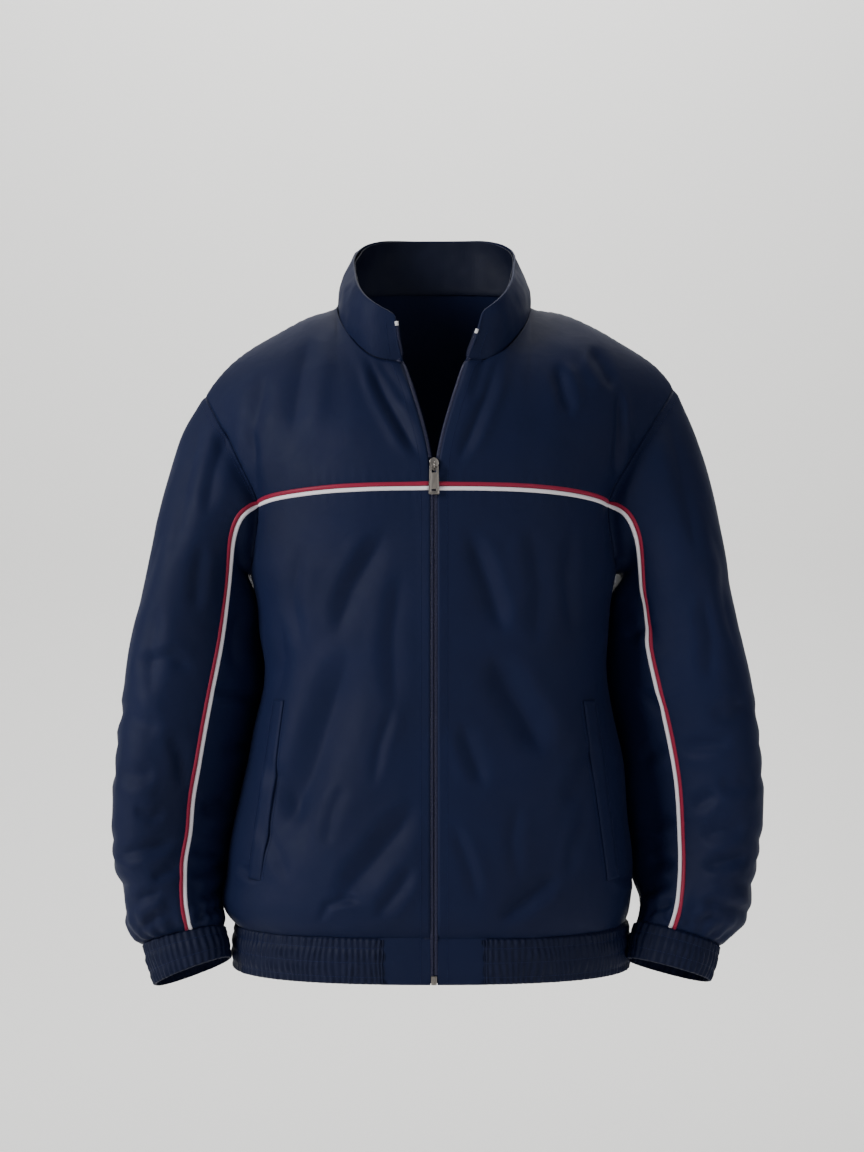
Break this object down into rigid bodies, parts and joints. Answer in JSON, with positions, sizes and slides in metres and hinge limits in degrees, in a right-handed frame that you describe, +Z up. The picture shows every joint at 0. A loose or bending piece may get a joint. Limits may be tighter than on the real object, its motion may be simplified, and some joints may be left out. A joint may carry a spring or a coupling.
{
  "type": "track jacket",
  "caption": "Stand-collar track jacket hanging as worn, its front zip half open, with piping, slanted pockets and elastic cuffs and hem.",
  "frame": {"origin": "middle of the neck opening, at the height where the shoulders meet the collar", "axes": "+X to the wearer's left, +Y to the back, +Z up"},
  "size_m": [0.6741, 0.3001, 0.7869],
  "materials": {
    "shell": "satin",
    "elastic": "satin",
    "piping_red": "satin",
    "piping_white": "satin",
    "zip_tape": "matte",
    "zip_coil": "satin",
    "zip_stop": "satin",
    "zip_metal": "satin"
  },
  "bodies": {
    "jacket": {"back": "shell", "collar_facing": "shell", "collar_outer": "shell", "cuff_left": "elastic", "cuff_right": "elastic", "front_left": "shell", "front_right": "shell", "front_yoke_left": "shell", "front_yoke_right": "shell", "hem_band": "elastic", "hem_tab_left": "shell", "hem_tab_right": "shell", "pocket_welt_left": "shell", "pocket_welt_right": "shell", "sleeve_piping_red_left": "piping_red", "sleeve_piping_red_right": "piping_red", "sleeve_piping_white_left": "piping_white", "sleeve_piping_white_right": "piping_white", "sleeve_under_left": "shell", "sleeve_under_right": "shell", "sleeve_upper_left": "shell", "sleeve_upper_right": "shell", "yoke_piping_red_left": "piping_red", "yoke_piping_red_right": "piping_red", "yoke_piping_white_left": "piping_white", "yoke_piping_white_right": "piping_white", "zip_box": "zip_metal", "zip_coil": "zip_coil", "zip_coil_left": "zip_coil", "zip_coil_right": "zip_coil", "zip_slider": "zip_metal", "zip_stop_left": "zip_stop", "zip_stop_right": "zip_stop", "zip_tape_left": "zip_tape", "zip_tape_right": "zip_tape"},
    "pull": {"zip_pull": "zip_metal"}
  },
  "joints": [
    {"name": "pull_hinge", "type": "hinge", "parent": "jacket", "child": "pull", "pos_m": [0, -0.13193, -0.1765], "axis": [-1, 0, 0], "range_deg": [0, 165]}
  ]
}
